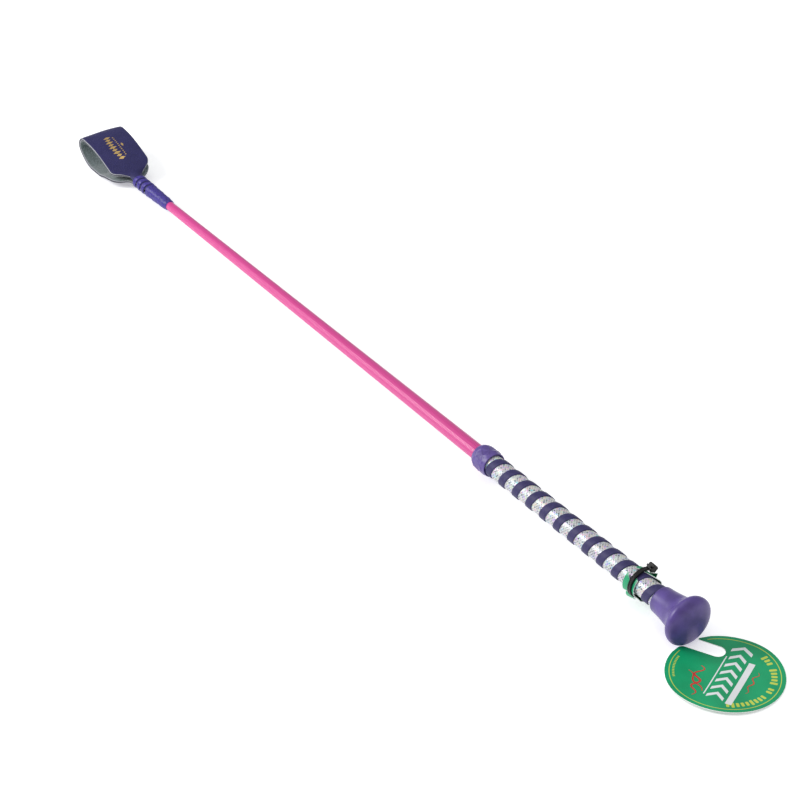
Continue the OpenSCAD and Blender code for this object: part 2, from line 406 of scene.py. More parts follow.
def smooth_strip():
    """Matte synthetic strip with a faint grain and scuffs."""
    paint = Paint("navy_strip", Specular_IOR_Level=0.3)
    grain = paint.cells(paint.place(), 3.2)
    scuff = paint.noise(paint.place(), 0.6, 4, 0.6)
    colour = paint.mix(paint.ramp(scuff, 0.35, 0.75), (0.026, 0.021, 0.088), (0.043, 0.035, 0.125))
    rough = paint.math("MULTIPLY_ADD", scuff, 0.2, 0.42)
    return paint.finish(colour, rough, paint.bump(grain, 0.03, 0.5))


def purple_rubber():
    """Satin moulded rubber: cloudy sheen, pinprick texture, a few rubbed marks."""
    paint = Paint("purple_rubber", Coat_Weight=0.14, Coat_Roughness=0.26)
    cloud = paint.noise(paint.place(), 0.16, 3, 0.55)
    pin = paint.noise(paint.place(), 5.0, 2, 0.6)
    rub = paint.noise(paint.place((1.0, 2.5, 1.2)), 0.5, 5, 0.7, 0.8)
    colour = paint.mix(paint.ramp(cloud, 0.3, 0.7), (0.068, 0.038, 0.2), (0.092, 0.053, 0.265))
    rough = paint.math("MULTIPLY_ADD", rub, 0.22, 0.3)
    fine = paint.bump(pin, 0.025, 0.5)
    return paint.finish(colour, rough, paint.bump(rub, 0.05, 0.35, fine))


def black_nylon():
    paint = Paint("black_nylon", Specular_IOR_Level=0.22)
    worn = paint.noise(paint.place(), 1.5, 3, 0.6)
    colour = paint.mix(worn, (0.003, 0.003, 0.003), (0.009, 0.008, 0.009))
    rough = paint.math("MULTIPLY_ADD", worn, 0.3, 0.22)
    return paint.finish(colour, rough, paint.bump(worn, 0.03, 0.5))


def printed_card(name, dark, light, coat):
    """Card with a flat print, a laminate over it and a faint fibre under it."""
    paint = Paint(name, Coat_Weight=coat, Coat_Roughness=0.12, Specular_IOR_Level=0.35)
    mottle = paint.noise(paint.place(), 0.05, 2)
    fibre = paint.noise(paint.place(), 2.2, 4, 0.65)
    colour = paint.mix(paint.ramp(mottle, 0.3, 0.7), dark, light)
    rough = paint.math("MULTIPLY_ADD", fibre, 0.2, 0.34)
    return paint.finish(colour, rough, paint.bump(fibre, 0.02, 0.35))


def cut_card():
    """The white core that shows where card is cut or torn."""
    paint = Paint("card_core", Roughness=0.85)
    fibre = paint.noise(paint.place(), 3.5, 3, 0.7)
    colour = paint.mix(fibre, (0.7, 0.75, 0.71), (0.92, 0.93, 0.92))
    return paint.finish(colour, None, paint.bump(fibre, 0.06, 0.7))


def thread(name, dark, light):
    """Waxed binding thread: glossy filaments along the winding, with painted highlights on lighter
    streaks.
    """
    paint = Paint(name, Coat_Weight=0.25, Coat_Roughness=0.22, Specular_IOR_Level=0.35)
    strand = paint.noise(paint.thread_uv((9.0, 0.9, 1.0)), 1.0, 4, 0.7)
    gloss = paint.noise(paint.place(), 0.7, 4, 0.7)
    # painted highlight: streaks where strand and gloss noise meet take the light colour
    painted_highlight = paint.math("MULTIPLY", paint.ramp(strand, 0.35, 0.68), paint.ramp(gloss, 0.3, 0.62))
    colour = paint.mix(painted_highlight, dark, light)
    rough = paint.math("MULTIPLY_ADD", gloss, 0.4, 0.14)
    return paint.finish(colour, rough, paint.bump(strand, 0.06, 0.7))


def grained_leather():
    """Finished side: rounded pebble grain with creases between, painted shade in the creases, pores
    and dull patches.
    """
    paint = Paint("navy_leather", Specular_IOR_Level=0.3)
    warp = paint.noise(paint.place(), 1.2, 2)
    spread = paint.node("VectorMath", {0: paint.place(), 1: (0.6, 0.6, 0.6)}, operation="MULTIPLY")
    shifted = paint.node("VectorMath", {0: spread.outputs[0], 1: warp}, operation="ADD")
    crease = paint.cells(shifted.outputs[0], 1.35, "DISTANCE_TO_EDGE")
    pebble = paint.ramp(crease, 0.0, 0.35)
    patch = paint.noise(paint.place(), 0.14, 3, 0.6)
    colour = paint.mix(paint.ramp(patch, 0.3, 0.75), (0.018, 0.016, 0.095), (0.029, 0.026, 0.125))
    # painted shade: the creases between pebbles are darkened in the colour
    colour = paint.mix(paint.math("MULTIPLY_ADD", pebble, 0.6, 0.3), (0.012, 0.01, 0.06), colour)
    rough = paint.math("MULTIPLY_ADD", patch, 0.25, 0.32)
    return paint.finish(colour, rough, paint.bump(pebble, 0.12, 0.8))


def suede():
    """Flesh side: short grey-green nap, brushed in patches."""
    paint = Paint("suede", Sheen_Weight=0.5, Sheen_Roughness=0.5, Roughness=0.95)
    nap = paint.noise(paint.place(), 1.1, 5, 0.75)
    brushed = paint.noise(paint.place((1.0, 0.6, 1.0)), 0.3, 4, 0.7, 0.5)
    colour = paint.mix(paint.ramp(nap, 0.3, 0.72), (0.03, 0.048, 0.052), (0.25, 0.31, 0.32))
    colour = paint.mix(paint.math("MULTIPLY", brushed, 0.35), colour, (0.15, 0.185, 0.18))
    return paint.finish(colour, None, paint.bump(nap, 0.16, 0.9))


def raw_edge(name, dark, light):
    """Cut edge of the leather, with loose fibres."""
    paint = Paint(name, Roughness=0.9)
    fibre = paint.noise(paint.place(), 2.6, 4, 0.7)
    colour = paint.mix(paint.ramp(fibre, 0.3, 0.7), dark, light)
    return paint.finish(colour, None, paint.bump(fibre, 0.12, 0.8))


def gold_foil():
    """Hot-pressed foil, thin in places so that the leather dulls it."""
    paint = Paint("gold_foil", Metallic=0.9)
    worn = paint.noise(paint.place(), 2.2, 4, 0.7)
    colour = paint.mix(paint.ramp(worn, 0.4, 0.68), (0.86, 0.58, 0.2), (0.3, 0.2, 0.11))
    rough = paint.math("MULTIPLY_ADD", worn, 0.3, 0.22)
    return paint.finish(colour, rough, paint.bump(worn, 0.03, 0.5))


def fibreglass():
    paint = Paint("fibreglass")
    streak = paint.noise(paint.place((0.06, 2.0, 2.0)), 1.0, 3)
    colour = paint.mix(streak, (0.6, 0.55, 0.36), (0.8, 0.76, 0.58))
    return paint.finish(colour, paint.math("MULTIPLY_ADD", streak, 0.2, 0.3))


def foam():
    paint = Paint("grip_foam", Roughness=0.9)
    pore = paint.cells(paint.place(), 2.0)
    colour = paint.mix(pore, (0.02, 0.02, 0.02), (0.06, 0.06, 0.06))
    return paint.finish(colour, None, paint.bump(pore, 0.1))


def floor_paint():
    paint = Paint("studio_floor", Roughness=0.7, Specular_IOR_Level=0.2, Emission_Strength=0.4)
    paint.put(paint.shader.inputs["Emission Color"], (1.0, 1.0, 1.0))
    tone = paint.noise(paint.place(), 0.004, 2)
    return paint.finish(paint.mix(tone, (0.9, 0.9, 0.905), (0.93, 0.93, 0.93)))


# ---------- shaft ----------

BRAID_COLUMNS = 18
BRAID_PITCH = 1.25
BRAID_RELIEF = 0.18


def braid_relief(x, angle):
    """Two sets of slanting strands, side by side in columns, each half a step on."""
    column = angle / TURN * BRAID_COLUMNS
    number = np.floor(column)
    offset = 2 * (column - number) - 1
    lean = np.where(number % 2 == 0, 0.34, -0.34)
    row = x / BRAID_PITCH + 0.5 * (number % 2) + lean * offset
    strand = np.abs(np.sin(math.pi * row)) ** 0.75
    return BRAID_RELIEF * (strand * (1 - 0.5 * offset**4) - 0.6)


def make_shaft():
    inset = 4
    x = np.arange(WHIP_X - inset, COLLAR_X + inset, BRAID_PITCH / 5)
    outer = np.stack([x, shaft_r(x)], -1)
    ends = x[[-1, 0]]
    bore = np.stack([ends, shaft_r(ends) - BRAID_T], -1)
    braid = lathe("braid", outer, bore, pink_braid(), BRAID_COLUMNS * 5, braid_relief)
    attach(braid, "crop")
    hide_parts("braid_cover")


# ---------- handle ----------

NET_COLUMNS = 20
NET_CELL = TURN * GRIP_R / NET_COLUMNS
NET_RELIEF = 0.07


def net_relief(x, angle):
    """A diamond net of raised threads."""
    u = x / NET_CELL
    v = angle / TURN * NET_COLUMNS
    rise = [np.abs(np.cos(math.pi * (u + side * v))) ** 4 for side in (1, -1)]
    return NET_RELIEF * (np.maximum(*rise) - 1)


def make_grip():
    x = np.arange(GRIP_END_X - 3, MOUTH_X + KNOB_SOCKET - 1, NET_CELL / 7)
    outer = np.stack([x, 0 * x + GRIP_R], -1)
    ends = x[[-1, 0]]
    bore = np.stack([ends, 0 * ends + GRIP_R - FABRIC_T], -1)
    mesh = lathe("grip_mesh", outer, bore, sparkle_mesh(), NET_COLUMNS * 7, net_relief)
    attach(mesh, "crop")
    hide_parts("grip_fabric")


def make_band():
    half = BAND_W / 2
    inner = GRIP_R - 0.02
    top = GRIP_R + 0.03 + BAND_T
    edge = 0.32
    section = [
        (-half, inner), (0, inner), (half, inner), (half, top - 0.24),
        (half - 0.1, top - 0.08), (half - edge, top), (half / 2, top + 0.05),
        (0, top + 0.06), (-half / 2, top + 0.05), (edge - half, top),
        (0.1 - half, top - 0.08), (-half, top - 0.24),
    ]
    start = MOUTH_X + KNOB_SOCKET - 1 - half
    end = GRIP_END_X - 3 + half
    band = helix_bar("grip_strip", section, start, end, BAND_PITCH, BAND_PHASE, 64, smooth_strip())
    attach(band, "crop")
    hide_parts("grip_band")


def knot_relief(x, angle):
    """Three cords that cross over and under each other round the collar."""
    middle = (COLLAR_X + GRIP_END_X) / 2
    reach, waves, width, height = 3.9, 3, 0.75, 0.34
    cords = []
    for k in range(3):
        swing = waves * angle + TURN * k / 3
        over = 0.75 + 0.25 * np.cos(3 * swing + k)
        away = (x - middle - reach * np.sin(swing)) / width
        cords.append(over * np.exp(-(away**2)))
    return height * (np.maximum.reduce(cords) - 0.35)


def make_collar():
    lip = 0.6
    start, end = (COLLAR_X, SHAFT_R1 + lip), (GRIP_END_X, GRIP_R + 0.45 + lip)
    belly = (COLLAR_X + 6, COLLAR_R)
    outer = np.vstack([
        [start],
        curve(start, (COLLAR_X, COLLAR_R - 0.9), (COLLAR_X + 2, COLLAR_R), belly, 34),
        curve(belly, (GRIP_END_X - 3, COLLAR_R), (GRIP_END_X, COLLAR_R - 0.1), end, 34),
    ])
    fade = smoothstep(0, 1.6, outer[:, 0] - COLLAR_X) * smoothstep(0, 1.6, GRIP_END_X - outer[:, 0])

    def relief(x, angle):
        return knot_relief(x, angle) * fade[:, None]

    bore = [
        (GRIP_END_X, SOCKET_R), (GRIP_END_X - COLLAR_SOCKET, SOCKET_R),
        (GRIP_END_X - COLLAR_SOCKET - 0.1, shaft_r(COLLAR_X) + 0.1), (COLLAR_X, shaft_r(COLLAR_X)),
    ]
    collar = lathe("collar", outer, bore, RUBBER, 192, relief)
    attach(collar, "crop")
    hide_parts("grip_collar")


def make_knob():
    neck, waist = 7.5, (-9.5, 8.9)
    lip, flare = (MOUTH_X + 1.2, neck + 0.05), (-3, KNOB_R - 1.8)
    face = (DOME_H - 0.6, KNOB_R - 7)
    rows = np.vstack([
        [(MOUTH_X, neck - 0.7)],
        curve((MOUTH_X, neck - 0.7), (MOUTH_X, neck - 0.2), (MOUTH_X + 0.3, neck), lip, 8),
        curve(lip, (MOUTH_X + 5, neck + 0.3), (waist[0] - 2, waist[1] - 0.4), waist, 20),
        curve(waist, (waist[0] + 3.3, waist[1] + 0.4), (-4.1, KNOB_R - 3.2), flare, 24),
        curve(flare, (-2.4, KNOB_R - 0.5), (-1.2, KNOB_R), (0, KNOB_R), 14),
        curve((0, KNOB_R), (2.2, KNOB_R), (DOME_H - 1.2, KNOB_R - 3), face, 28),
        curve(face, (DOME_H - 0.1, KNOB_R - 9.5), (DOME_H, 2), (DOME_H, 0), 16),
    ])
    bore = [
        (-3, 0), (-3, GRIP_R), (MOUTH_X + KNOB_SOCKET, GRIP_R),
        (MOUTH_X + KNOB_SOCKET, SOCKET_R), (MOUTH_X, SOCKET_R),
    ]

    def relief(x, angle):
        """The slight unevenness of a soft moulding."""
        return 0.05 * np.sin(2 * angle + x / 6) + 0.03 * np.sin(5 * angle - x / 3)

    knob = lathe("knob", rows[::-1], bore[::-1], RUBBER, 144, relief)
    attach(knob, "crop")
    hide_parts("knob_cap")


# ---------- cable tie and torn card ----------

HEAD_ANGLE = math.radians(40)
STRAP_W, STRAP_T = 2.5, 1.0
FACING = math.radians(130)  # the side of the grip that faces the camera


def strap_radius(angle):
    """Inside of the strap: close to the grip, and straighter on each side of the head."""
    turn = np.abs((angle - HEAD_ANGLE + math.pi) % TURN - math.pi)
    return 7.0 + 0.75 * (1 - smoothstep(0.2, 1.3, turn))


def strap_x(angle):
    """Middle of the strap, which sits a little askew on the grip."""
    return TIE_X + 0.5 * np.cos(angle - FACING - 0.6)


def tie_strap(nylon):
    """The closed band, with a ribbed lane between two smooth edges."""
    count = 288
    ribs = 56
    half = STRAP_W / 2
    angle = np.arange(count) * TURN / count
    rib = 0.16 * (np.abs(np.sin(ribs * angle / 2)) ** 0.6)
    inner = strap_radius(angle)
    outer = inner + STRAP_T
    lane = outer - 0.2 + rib
    section = [
        (-half, inner), (-half, outer - 0.22), (-half + 0.18, outer), (-0.72, outer),
        (-0.66, lane), (0.66, lane), (0.72, outer), (half - 0.18, outer),
        (half, outer - 0.22), (half, inner),
    ]
    rings = np.stack(
        [
            np.stack([strap_x(angle) + x, r * np.cos(angle), r * np.sin(angle)], -1)
            for x, r in section
        ],
        1,
    )
    faces = grid_quads(count, len(section), True, True)[0]
    return build("tie_strap", to_row(rings.reshape(-1, 3)), faces, [nylon])


def tie_head(nylon):
    """The bevelled head and the stub of the cut tail."""
    head = bmesh.new()
    bmesh.ops.create_cube(head, size=1)
    size = Vector((4.0, 3.3, 4.0))
    bmesh.ops.scale(head, vec=size, verts=head.verts)
    top = next(f for f in head.faces if f.normal.y > 0.9)
    bmesh.ops.inset_region(head, faces=[top], thickness=0.8)
    bmesh.ops.translate(head, verts=top.verts, vec=(0, 0.5, 0))
    sharp = [e for e in head.edges if e.calc_face_angle(0) > 1]
    bmesh.ops.bevel(head, geom=sharp, offset=0.35, segments=3, affect="EDGES", profile=0.6)
    tail = bmesh.ops.create_cube(head, size=1)["verts"]
    bmesh.ops.scale(head, vec=(STRAP_W, STRAP_T, 2.6), verts=tail)
    bmesh.ops.translate(head, verts=tail, vec=(0, -0.2, size.z / 2 + 0.3))
    radius = float(strap_radius(HEAD_ANGLE)) + 0.25 + size.y / 2
    spin = Matrix.Rotation(HEAD_ANGLE, 4, "X")
    shift = Matrix.Translation((float(strap_x(HEAD_ANGLE)), 0, 0))
    head.transform(shift @ spin @ Matrix.Translation((0, radius, 0)))
    mesh = bpy.data.meshes.new("tie_head")
    head.to_mesh(mesh)
    head.free()
    local = np.array([v.co for v in mesh.vertices])
    mesh.vertices.foreach_set("co", to_row(local).astype(np.float32).ravel())
    mesh.materials.append(nylon)
    mesh.update()
    return link("tie_head", mesh)


def make_tie():
    nylon = black_nylon()
    strap, head = tie_strap(nylon), tie_head(nylon)
    for piece in (strap, head):
        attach(piece, "crop")
    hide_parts("cable_tie")


def card_leaf(outline, lift, count=14):
    """A thin leaf of card wrapped over the grip: outer points and inner points.

    outline is four corners of [x, degrees round from FACING]. lift(a, b) is how far the leaf
    stands off, where a runs round the grip and b along it."""
    a, b = np.meshgrid(np.linspace(0, 1, count), np.linspace(0, 1, count), indexing="ij")
    p, q, r, s = (np.asarray(c, float) for c in outline)
    flat = (
        p * ((1 - a) * (1 - b))[..., None] + q * (a * (1 - b))[..., None]
        + r * (a * b)[..., None] + s * ((1 - a) * b)[..., None]
    )
    x, angle = flat[..., 0], FACING + np.radians(flat[..., 1])
    layers = []
    for depth in (0.36, 0):
        radius = GRIP_R + 0.55 + depth + lift(a, b)
        layers.append(np.stack([x, radius * np.cos(angle), radius * np.sin(angle)], -1))
    return layers


def slab(outer, inner):
    """Points, faces and face slots (0 outer, 1 edge, 2 inner) of a thin closed sheet."""
    rows, columns = outer.shape[:2]
    quads = grid_quads(rows, columns)[0]
    size = rows * columns
    ring = (
        [(i, 0) for i in range(rows)] + [(rows - 1, j) for j in range(1, columns)]
        + [(i, columns - 1) for i in range(rows - 2, -1, -1)]
        + [(0, j) for j in range(columns - 2, 0, -1)]
    )
    ring = [i * columns + j for i, j in ring]
    sides = [(a, b, b + size, a + size) for a, b in zip(ring, ring[1:] + ring[:1])]
    points = np.vstack([outer.reshape(-1, 3), inner.reshape(-1, 3)])
    faces = quads.tolist() + sides + (quads + size).tolist()
    slots = [0] * len(quads) + [1] * len(sides) + [2] * len(quads)
    return points, faces, slots


def join_slabs(name, slabs, materials):
    points, faces, slots, start = [], [], [], 0
    for p, f, s in slabs:
        points.append(p)
        faces += [[start + i for i in face] for face in f]
        slots += s
        start += len(p)
    piece = build(name, to_row(np.vstack(points)), faces, materials, slots)
    shade_by_angle(piece)
    return piece


def shade_by_angle(piece, degrees=35):
    """Smooth shading, with every edge sharper than this left crisp."""
    mesh = piece.data
    work = bmesh.new()
    work.from_mesh(mesh)
    for edge in work.edges:
        edge.smooth = edge.calc_face_angle(0) < math.radians(degrees)
    work.to_mesh(mesh)
    work.free()


def make_tie_card():
    back, front = TIE_X - STRAP_W / 2, TIE_X + STRAP_W / 2
    leaves = [
        # left petal, pointed at its upper corner
        ([(back - 3.4, -4), (back - 4.2, 84), (back + 0.9, 92), (back + 0.7, 26)],
         lambda a, b: 0.1 + 0.9 * a**2 * (1 - b) + 0.5 * (1 - a) ** 2 * (1 - b)),
        # right petal
        ([(front - 0.7, -8), (front - 0.8, 94), (front + 1.9, 100), (front + 2.0, 2)],
         lambda a, b: 0.1 + 0.9 * a**2 * b),
        # flap that folds out under the grip
        ([(back - 2.6, 90), (back - 4.0, 122), (front - 0.2, 118), (front - 0.4, 94)],
         lambda a, b: 0.8 + 3.2 * a * (1 - 0.5 * b)),
        # wide piece under the grip, towards the knob
        ([(front - 0.6, 88), (front - 0.6, 175), (front + 6.6, 160), (front + 4.8, 100)],
         lambda a, b: 0.15 + 0.7 * b * (1 - a)),
        # back of the sleeve
        ([(back - 3.4, 120), (back - 3.4, 320), (back + 1, 302), (back + 1, 120)],
         lambda a, b: 0.1 + 0.4 * (1 - b) ** 2 * np.sin(3 * a) ** 2),
        # strip that runs under the head towards the knob
        ([(front - 1.2, 170), (front - 1.2, 308), (front + 7.6, 279), (front + 6.8, 190)],
         lambda a, b: 0.12 + 0.25 * b**2),
        # torn corner that stands up behind the head
        ([(front + 0.6, 262), (front + 0.8, 280), (front + 4.0, 274), (front + 3.4, 260)],
         lambda a, b: 0.7 + 1.9 * b * a),
    ]
    slabs = [slab(*card_leaf(outline, lift)) for outline, lift in leaves]
    card = join_slabs("torn_card", slabs, [BRIGHT_CARD, CARD_CORE, CARD_BACK_PAINTED_SHADE])
    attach(card, "crop")
    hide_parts("tie_card")


# ---------- swing ticket ----------

SLOT_ANGLE = math.radians(28)
SLOT_END = Vector((-15.5, 8.2))
CUT_STEP, CUT_START = 2.0, 0.37


def arc(centre, radius, start, end, count):
    """Points of an arc, by angles in radians."""
    angles = np.linspace(start, end, count)
    return [(centre[0] + radius * math.cos(a), centre[1] + radius * math.sin(a)) for a in angles]


def rounded(points, radius, count=7):
    """A closed outline with the corners named by radius rounded off; others stay."""
    out = []
    for k, (x, y) in enumerate(points):
        corner = Vector((x, y))
        size = radius.get(k, 0)
        if not size:
            out.append((x, y))
            continue
        before = (Vector(points[k - 1]) - corner).normalized() * size + corner
        after = (Vector(points[(k + 1) % len(points)]) - corner).normalized() * size + corner
        for t in np.linspace(0, 1, count):
            p = before.lerp(corner, t).lerp(corner.lerp(after, t), t)
            out.append((p.x, p.y))
    return out


def ticket_outline():
    """The disc with its open slot, whose two mouth corners are rounded."""
    slide = Vector((math.cos(SLOT_ANGLE), math.sin(SLOT_ANGLE)))
    side = Vector((-slide.y, slide.x))
    ends = []
    for sign in (1, -1):
        wall = SLOT_END + side * sign * SLOT_W / 2
        reach = wall.dot(slide) + math.sqrt(
            wall.dot(slide) ** 2 - wall.length_squared + TICKET_R**2
        )
        ends.append(wall - slide * reach)
    upper, lower = ends
    start = math.atan2(lower.y, lower.x) % TURN
    end = math.atan2(upper.y, upper.x) + TURN
    rim_arc = arc((0, 0), TICKET_R, start, end, 150)
    inner = arc(SLOT_END, SLOT_W / 2, SLOT_ANGLE + math.pi / 2, SLOT_ANGLE - math.pi / 2, 24)
    # the mouth's corners are cut back along the rim, then rounded
    trim = 6
    outline = [tuple(lower)] + rim_arc[trim:-trim] + [tuple(upper)] + inner
    return rounded(outline, {0: 2.6, len(rim_arc) - 2 * trim + 1: 2.6})


def warp(x, y):
    """How far the card has curled off the floor."""
    side = -x * math.sin(SLOT_ANGLE) + y * math.cos(SLOT_ANGLE)
    return 1.3 * (side / TICKET_R) ** 2 * smoothstep(-20, 10, x) + 0.4 * smoothstep(0, 29, x)


def flat_mesh(outline, height, thickness, slots):
    """A flat outline of the ticket's plan as a thin solid, cut small and bent to the card.

    slots are the material numbers of its top, cut edge and underside."""
    work = bmesh.new()
    ring = [work.verts.new((x, y, 0)) for x, y in outline]
    edges = [work.edges.new((a, b)) for a, b in zip(ring, ring[1:] + ring[:1])]
    bmesh.ops.triangle_fill(work, use_beauty=True, edges=edges)
    for axis in range(2):
        values = [p[axis] for p in outline]
        first = math.ceil((min(values) - CUT_START) / CUT_STEP)
        last = math.floor((max(values) - CUT_START) / CUT_STEP)
        for k in range(first, last + 1):
            point, normal = Vector((0, 0, 0)), Vector((0, 0, 0))
            point[axis], normal[axis] = k * CUT_STEP + CUT_START, 1
            bmesh.ops.bisect_plane(
                work, geom=work.verts[:] + work.edges[:] + work.faces[:], dist=1e-5,
                plane_co=point, plane_no=normal,
            )
    made = bmesh.ops.extrude_face_region(work, geom=work.faces[:], use_keep_orig=True)
    raised = [v for v in made["geom"] if isinstance(v, bmesh.types.BMVert)]
    bmesh.ops.translate(work, verts=raised, vec=(0, 0, thickness))
    bmesh.ops.recalc_face_normals(work, faces=work.faces)
    for face in work.faces:
        side = 1 if abs(face.normal.z) < 0.5 else 0 if face.normal.z > 0 else 2
        face.material_index = slots[side]
        face.smooth = True
    for edge in work.edges:
        edge.smooth = edge.calc_face_angle(0) < 0.6
    for vert in work.verts:
        vert.co.z += height + float(warp(vert.co.x, vert.co.y))
        vert.co = to_ticket(vert.co)
    mesh = bpy.data.meshes.new("flat")
    work.to_mesh(mesh)
    work.free()
    return mesh


def join_meshes(name, meshes, materials):
    work = bmesh.new()
    for mesh in meshes:
        work.from_mesh(mesh)
        bpy.data.meshes.remove(mesh)
    mesh = bpy.data.meshes.new(name)
    work.to_mesh(mesh)
    work.free()
    for material in materials:
        mesh.materials.append(material)
    return link(name, mesh)


def turned(points, angle, shift):
    """Points of a motif turned and moved into the ticket's plan."""
    c, s = math.cos(angle), math.sin(angle)
    return [(c * x - s * y + shift[0], s * x + c * y + shift[1]) for x, y in points]


def bar(x0, x1, y0, y1):
    return [(x0, y0), (x1, y0), (x1, y1), (x0, y1)]


def stroke(points, widths):
    """The outline of a brush stroke along points, as wide as widths says at each."""
    points = np.asarray(points, float)
    step = np.gradient(points, axis=0)
    step /= np.linalg.norm(step, axis=1)[:, None]
    side = np.stack([-step[:, 1], step[:, 0]], -1) * np.asarray(widths)[:, None] / 2
    return [tuple(p) for p in np.vstack([points + side, (points - side)[::-1]])]


def brush(start, end, swing, waves, width):
    """A hand-drawn wave from start to end, thick in its middle."""
    k = np.linspace(0, 1, 60)[:, None]
    start, end = np.asarray(start, float), np.asarray(end, float)
    line = start + (end - start) * k
    side = np.array([start[1] - end[1], end[0] - start[0]]) / np.linalg.norm(end - start)
    line = line + side * swing * np.sin(TURN * waves * k) * (1 - 0.35 * k)
    return stroke(line, width * (0.35 + 0.65 * np.sin(math.pi * k[:, 0])))


def ticket_art():
    """Printed shapes as pairs of outline and ink (0 yellow, 1 white, 2 red).

    They are laid out with the slot at the upper left, then turned with it."""
    ring_r = TICKET_R - 2.1
    start, end = math.radians(-202), math.radians(122)
    shapes = [
        (arc((0, 0), ring_r, start, end, 130) + arc((0, 0), ring_r - 0.4, end, start, 130), 0)
    ]
    for k in range(22):
        angle = math.radians(50 - 5.9 * k)
        if k in (3, 9, 12):  # the gaps between the words that the marks stand for
            continue
        spot = ((ring_r - 3.6) * math.cos(angle), (ring_r - 3.6) * math.sin(angle))
        half, tall = 0.75, 1.5 if k % 4 else 1.9
        mark = rounded(bar(-half, half, -tall, tall), {0: 0.5, 1: 0.5, 2: 0.5, 3: 0.5}, 4)
        shapes.append((turned(mark, angle - math.pi / 2, spot), 0))
    for k in range(14):
        angle = math.radians(168 + 2.7 * k)
        spot = ((ring_r - 2.2) * math.cos(angle), (ring_r - 2.2) * math.sin(angle))
        shapes.append((turned(bar(-0.3, 0.3, -0.55, 0.55), angle - math.pi / 2, spot), 0))
    lean = math.radians(-7)
    column = (1.8, 0.5)
    for k in range(7):
        y = 19.5 - 6.3 * k
        size = 5.4 if k == 0 else 4.3
        chevron = [
            (-size, y - 2.6), (0, y + 1.2), (size, y - 2.6),
            (size, y - 0.2), (0, y + 3.4), (-size, y - 0.2),
        ]
        shapes.append((turned(chevron, lean, column), 1))
    shapes.append((turned(bar(5.9, 9.1, -22, 12.5), lean, column), 1))
    shapes.append((turned(bar(-6.1, -5.5, -19.5, 12.5), lean, column), 1))
    shapes.append((brush((-12.5, 2.5), (-11.5, -21), 2.2, 2.5, 1.1), 2))
    shapes.append((brush((-17.5, -3), (-7.5, -16.5), 1.2, 1.5, 0.9), 2))
    shapes.append((brush((15, 6.5), (12.6, -11), 1.1, 2.5, 0.6), 2))
    turn = SLOT_ANGLE + math.radians(8)
    return [(turned(outline, turn, (0, 0)), ink) for outline, ink in shapes]


def make_ticket():
    sheet = flat_mesh(ticket_outline(), 0, CARD_T, (0, 1, 2))
    inks = [
        printed_card("yellow_print", (0.5, 0.6, 0.06), (0.6, 0.7, 0.1), 0.4),
        printed_card("white_print", (0.74, 0.76, 0.76), (0.86, 0.86, 0.88), 0.4),
        printed_card("red_print", (0.5, 0.02, 0.015), (0.62, 0.035, 0.025), 0.4),
    ]
    meshes = [sheet]
    layers = (0.02, 0.035, 0.05)
    for outline, ink in ticket_art():
        slot = 3 + ink
        meshes.append(flat_mesh(outline, CARD_T - 0.1, 0.1 + layers[ink], (slot, slot, slot)))
    ticket = join_meshes("ticket", meshes, [TICKET_CARD, CARD_CORE, CARD_BACK_PAINTED_SHADE, *inks])
    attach(ticket, "ticket")
    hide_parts("swing_ticket")


# ---------- keeper ----------

TONGUE_LEN = 18
TONGUE_R = 3.55
TONGUE_T = 1.05
LASH_X = BIND_X + TONGUE_LEN
LASH_PITCH = 5.6
LASH_W = 3.8
LASH_START = LASH_X - 2.2
AXIS_DROP = hinge.z / MM
ROOT_U = 14
UPPER_Z, LOWER_Z = 13.2, 6.2
CROWN = (50, 21.15)
FOLD = (LOOP_LEN - LEATHER_T / 2, 12.3)
BED = LEATHER_T / 2
FLAT_U = (32, 43)
BINDING_R1, BINDING_R2 = 3.5, 4.8


def binding_r(x):
    return BINDING_R1 + (BINDING_R2 - BINDING_R1) * (WHIP_X - x) / (WHIP_X - BIND_X)


def lash_gap(x, angle):
    """1 midway between two thread turns over the leather, 0 under a turn."""
    away = ((LASH_START - x) - LASH_PITCH * angle / TURN) % LASH_PITCH
    away = np.minimum(away, LASH_PITCH - away)
    return smoothstep(LASH_W / 2 - 0.2, LASH_PITCH / 2, away)


def wind_whipping(navy):
    """The close turns over the end of the shaft."""
    gauge = 0.42

    def winding(x, angle):
        row = x / gauge + angle / TURN
        wander = 0.35 * np.sin(3 * angle + x / 2.3) + 0.25 * np.sin(5 * angle - x / 1.1)
        lumps = 0.09 * np.sin(2 * angle + x / 1.7) + 0.07 * np.sin(x * 1.3 - angle)
        return 0.11 * np.abs(np.sin(math.pi * (row + 0.25 * wander))) - 0.06 + lumps

    x = np.arange(LASH_X + 0.2, WHIP_X + 0.01, gauge / 6)
    shoulder = 0.45 * (1 - smoothstep(0, 1.4, WHIP_X - x)) - 0.12 * smoothstep(2, 6, WHIP_X - x)
    outer = np.stack([x, binding_r(x) - shoulder + 0.15], -1)
    bore = [(x[-1], SHAFT_R2), (x[0], SHAFT_R2)]
    return lathe("whipping", outer, bore, navy, 96, winding)


def wind_lashing(navy):
    """The open turns over the leather, each a flat bundle of threads."""
    ridges = 5
    half = LASH_W / 2
    top = [
        (s, 4.3 + 0.4 * (1 - (s / half) ** 2)
         + 0.13 * abs(math.sin(math.pi * ridges * (s + half) / LASH_W)))
        for s in np.linspace(-half, half, ridges * 6 + 1)
    ]
    section = [(-half, 3.9), (half, 3.9)] + top[::-1]
    return helix_bar(
        "lashing", section, LASH_START, BIND_X + 1.1, LASH_PITCH, 0.0, 96, navy,
        lambda x: 0.12 * (LASH_X - x) / TONGUE_LEN,
    )


